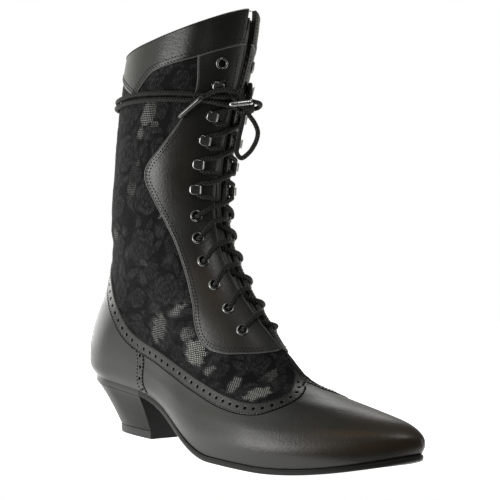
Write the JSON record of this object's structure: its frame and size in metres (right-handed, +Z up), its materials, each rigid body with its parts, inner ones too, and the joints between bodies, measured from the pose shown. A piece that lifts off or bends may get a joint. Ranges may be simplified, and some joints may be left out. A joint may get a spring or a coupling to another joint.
{
  "type": "lace-up boot",
  "caption": "Calf-high lace-up boot for the right foot, with a pointed toe, a low tapered heel and a hollow upper closed in front by eyelets, speed hooks and a cord lace.",
  "frame": {"origin": "middle of the boot's box on the floor, without the free lace", "axes": "+X from heel to toe, +Y towards the inner side of the foot, +Z up the shaft"},
  "size_m": [0.2686, 0.0852, 0.2808],
  "materials": {
    "black_leather": "semi-gloss, fine grain",
    "sole_leather": "matt, burnished edge",
    "heel_stack": "satin",
    "top_lift": "matt",
    "lining": "matt woven",
    "gunmetal": "black lacquer, glossy",
    "lace": "matt braided cord",
    "aglet": "gloss"
  },
  "bodies": {
    "root": {"aglet_front": "aglet", "aglet_outer": "aglet", "eyelet_inner_01": "gunmetal", "eyelet_inner_02": "gunmetal", "eyelet_inner_03": "gunmetal", "eyelet_inner_04": "gunmetal", "eyelet_inner_05": "gunmetal", "eyelet_inner_06": "gunmetal", "eyelet_inner_12": "gunmetal", "eyelet_outer_01": "gunmetal", "eyelet_outer_02": "gunmetal", "eyelet_outer_03": "gunmetal", "eyelet_outer_04": "gunmetal", "eyelet_outer_05": "gunmetal", "eyelet_outer_06": "gunmetal", "eyelet_outer_12": "gunmetal", "heel_block": "heel_stack", "heel_top_lift": "top_lift", "hook_inner_07": "gunmetal", "hook_inner_08": "gunmetal", "hook_inner_09": "gunmetal", "hook_inner_10": "gunmetal", "hook_inner_11": "gunmetal", "hook_outer_07": "gunmetal", "hook_outer_08": "gunmetal", "hook_outer_09": "gunmetal", "hook_outer_10": "gunmetal", "hook_outer_11": "gunmetal", "insole": "lining", "lace_crossings": "lace", "lace_end_front": "lace", "lace_end_outer": "lace", "lace_knot": "lace", "lace_loop": "lace", "lace_turn_lower": "lace", "lace_turn_upper": "lace", "outsole": "sole_leather", "tongue": "black_leather", "upper": "black_leather"}
  },
  "joints": []
}
